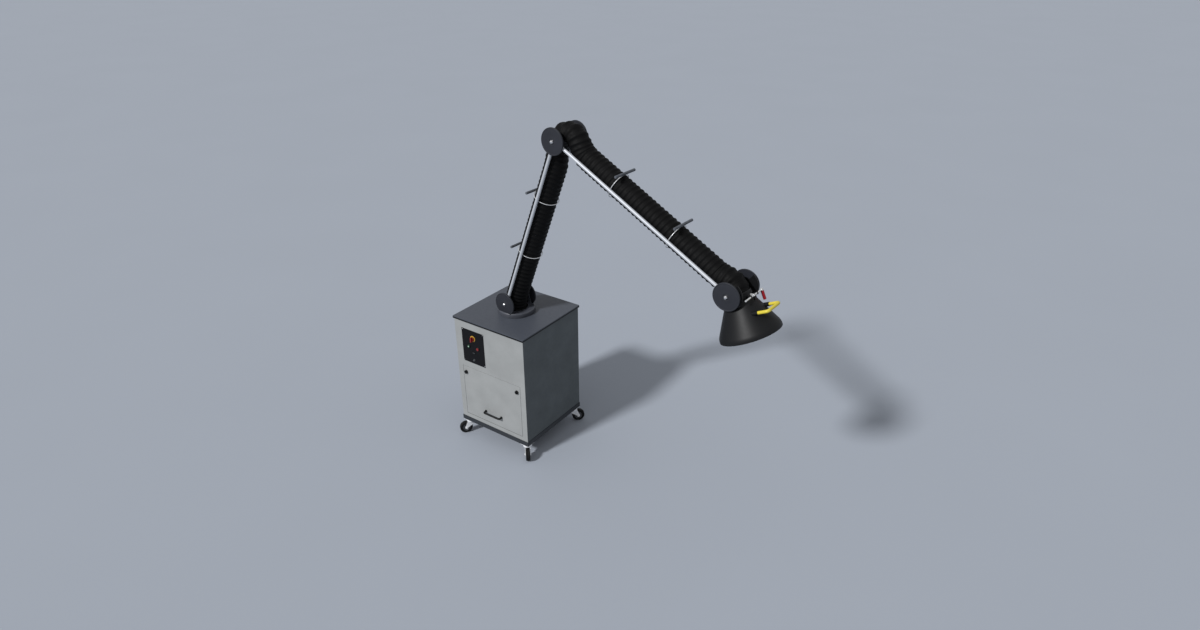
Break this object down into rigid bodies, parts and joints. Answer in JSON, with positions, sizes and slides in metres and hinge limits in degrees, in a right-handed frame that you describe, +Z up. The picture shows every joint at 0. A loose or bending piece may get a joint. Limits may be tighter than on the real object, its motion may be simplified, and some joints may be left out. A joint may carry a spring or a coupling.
{
  "type": "mobile fume extraction arm",
  "caption": "Mobile filter cabinet on casters with a turntable and a friction-jointed hose arm that ends in a cone hood.",
  "frame": {"origin": "on the floor under the middle of the cabinet", "axes": "+Z up, -Y towards the door and the control panel, +X the way that the arm reaches"},
  "size_m": [2.4281, 0.7363, 2.5368],
  "materials": {
    "panel_light": "satin",
    "panel_side": "satin",
    "panel_black": "satin",
    "plinth_paint": "satin",
    "lid_paint": "satin",
    "zinc": "satin",
    "black_plastic": "matte",
    "disc_plastic": "satin",
    "ring_plastic": "satin",
    "hose_fabric": "matte",
    "tube_metal": "satin",
    "frame_paint": "satin",
    "hood_plastic": "satin",
    "wire": "satin",
    "bar_rubber": "matte",
    "yellow_paint": "satin",
    "red_plastic": "satin",
    "red_paint": "satin",
    "green_plastic": "gloss",
    "media": "matte",
    "tyre_rubber": "matte",
    "machine_black": "satin"
  },
  "bodies": {
    "cabinet": {"base_plinth": "plinth_paint", "cabinet_wrap": "panel_side", "front_panel": "panel_light", "top_lid": "lid_paint", "control_panel": "panel_black", "electrical_fittings": "black_plastic", "outlet_grille": "panel_side", "fan_deck": "zinc", "filter_cassette": "media", "prefilter": "zinc", "fan_housing": "zinc", "fan_motor": "machine_black", "control_box": "zinc", "swivel_flange": "zinc", "cabinet_fasteners": "zinc", "caster_plates": "zinc"},
    "turntable": {"turntable_ring": "ring_plastic", "shoulder_discs": "disc_plastic", "shoulder_pivots": "zinc", "shoulder_bend": "hose_fabric"},
    "upper_arm": {"upper_tubes": "tube_metal", "upper_lugs": "frame_paint", "upper_hoops": "wire", "upper_crossbars": "bar_rubber", "upper_hose": "hose_fabric", "elbow_discs": "disc_plastic", "elbow_pivots": "zinc", "elbow_bend": "hose_fabric"},
    "lower_arm": {"lower_tubes": "tube_metal", "lower_lugs": "frame_paint", "lower_hoops": "wire", "lower_crossbars": "bar_rubber", "lower_hose": "hose_fabric", "hood_bend": "hose_fabric"},
    "hood": {"hood_yoke": "frame_paint", "hood_discs": "disc_plastic", "hood_pivots": "zinc", "hood_neck": "hood_plastic", "hood_cone": "hood_plastic", "hood_handle": "yellow_paint"},
    "damper": {"damper_lever": "zinc", "damper_grip": "red_plastic"},
    "door": {"door_panel": "panel_light", "door_handle": "black_plastic"},
    "left_latch": {"latch_left": "black_plastic"},
    "right_latch": {"latch_right": "black_plastic"},
    "switch_handle": {"main_switch": "red_plastic"},
    "start_plunger": {"start_button": "green_plastic"},
    "stop_plunger": {"stop_button": "red_plastic"},
    "fan": {"fan_wheel": "zinc"},
    "caster_front_left": {"fork_front_left": "zinc"},
    "roller_front_left": {"wheel_front_left": "tyre_rubber"},
    "brake_front_left": {"pedal_left": "red_paint"},
    "caster_front_right": {"fork_front_right": "zinc"},
    "roller_front_right": {"wheel_front_right": "tyre_rubber"},
    "brake_front_right": {"pedal_right": "red_paint"},
    "caster_rear_right": {"fork_rear_right": "zinc"},
    "roller_rear_right": {"wheel_rear_right": "tyre_rubber"},
    "caster_rear_left": {"fork_rear_left": "zinc"},
    "roller_rear_left": {"wheel_rear_left": "tyre_rubber"}
  },
  "joints": [
    {"name": "turntable_swivel", "type": "hinge", "parent": "cabinet", "child": "turntable", "pos_m": [0, 0, 1.068], "axis": [0, 0, 1], "continuous": true},
    {"name": "shoulder", "type": "hinge", "parent": "turntable", "child": "upper_arm", "pos_m": [0, 0, 1.145], "axis": [0.0506, 0.9987, 0], "range_deg": [-30, 35], "deforming": ["shoulder_bend"]},
    {"name": "elbow", "type": "hinge", "parent": "upper_arm", "child": "lower_arm", "pos_m": [0.50439, -0.02555, 2.42712], "axis": [0.0506, 0.9987, 0], "range_deg": [-85, 33], "deforming": ["elbow_bend"]},
    {"name": "hood_pitch", "type": "hinge", "parent": "lower_arm", "child": "hood", "pos_m": [1.78329, -0.09034, 1.7405], "axis": [0.0506, 0.9987, 0], "range_deg": [-75, 60], "deforming": ["hood_bend"]},
    {"name": "damper", "type": "hinge", "parent": "hood", "child": "damper", "pos_m": [1.89674, -0.09609, 1.74027], "axis": [-0.0506, -0.9987, 0], "range_deg": [0, 90]},
    {"name": "door_hinge", "type": "hinge", "parent": "cabinet", "child": "door", "pos_m": [0, -0.3215, 0.2065], "axis": [1, 0, 0], "range_deg": [0, 90]},
    {"name": "latch_left_turn", "type": "hinge", "parent": "door", "child": "left_latch", "pos_m": [-0.25, -0.3275, 0.5875], "axis": [0, 1, 0], "range_deg": [0, 90]},
    {"name": "latch_right_turn", "type": "hinge", "parent": "door", "child": "right_latch", "pos_m": [0.25, -0.3275, 0.5875], "axis": [0, -1, 0], "range_deg": [0, 90]},
    {"name": "main_switch_turn", "type": "hinge", "parent": "cabinet", "child": "switch_handle", "pos_m": [-0.154, -0.3275, 0.903], "axis": [0, 1, 0], "range_deg": [0, 90]},
    {"name": "start_press", "type": "slide", "parent": "cabinet", "child": "start_plunger", "axis": [0, 1, 0], "range_m": [0, 0.003], "stiffness_N_per_m": 800},
    {"name": "stop_press", "type": "slide", "parent": "cabinet", "child": "stop_plunger", "axis": [0, 1, 0], "range_m": [0, 0.003], "stiffness_N_per_m": 800},
    {"name": "fan_spin", "type": "hinge", "parent": "cabinet", "child": "fan", "pos_m": [0, -0.02, 0.29], "axis": [0, 0, 1], "continuous": true},
    {"name": "swivel_front_left", "type": "hinge", "parent": "cabinet", "child": "caster_front_left", "pos_m": [-0.2905, -0.2905, 0.11], "axis": [0, 0, 1], "continuous": true},
    {"name": "roll_front_left", "type": "hinge", "parent": "caster_front_left", "child": "roller_front_left", "pos_m": [-0.31459, -0.3249, 0.05], "axis": [0.8192, -0.5736, 0], "continuous": true},
    {"name": "brake_front_left", "type": "hinge", "parent": "caster_front_left", "child": "brake_front_left", "pos_m": [-0.27329, -0.26593, 0.095], "axis": [0.8192, -0.5736, 0], "range_deg": [0, 20]},
    {"name": "swivel_front_right", "type": "hinge", "parent": "cabinet", "child": "caster_front_right", "pos_m": [0.2905, -0.2905, 0.11], "axis": [0, 0, 1], "continuous": true},
    {"name": "roll_front_right", "type": "hinge", "parent": "caster_front_right", "child": "roller_front_right", "pos_m": [0.31805, -0.3222, 0.05], "axis": [0.7547, 0.6561, 0], "continuous": true},
    {"name": "brake_front_right", "type": "hinge", "parent": "caster_front_right", "child": "brake_front_right", "pos_m": [0.27082, -0.26786, 0.095], "axis": [0.7547, 0.6561, 0], "range_deg": [0, 20]},
    {"name": "swivel_rear_right", "type": "hinge", "parent": "cabinet", "child": "caster_rear_right", "pos_m": [0.2905, 0.2905, 0.11], "axis": [0, 0, 1], "continuous": true},
    {"name": "roll_rear_right", "type": "hinge", "parent": "caster_rear_right", "child": "roller_rear_right", "pos_m": [0.3202, 0.3202, 0.05], "axis": [-0.7071, 0.7071, 0], "continuous": true},
    {"name": "swivel_rear_left", "type": "hinge", "parent": "cabinet", "child": "caster_rear_left", "pos_m": [-0.2905, 0.2905, 0.11], "axis": [0, 0, 1], "continuous": true},
    {"name": "roll_rear_left", "type": "hinge", "parent": "caster_rear_left", "child": "roller_rear_left", "pos_m": [-0.2561, 0.31459, 0.05], "axis": [-0.5736, 0.8192, 0], "continuous": true}
  ]
}
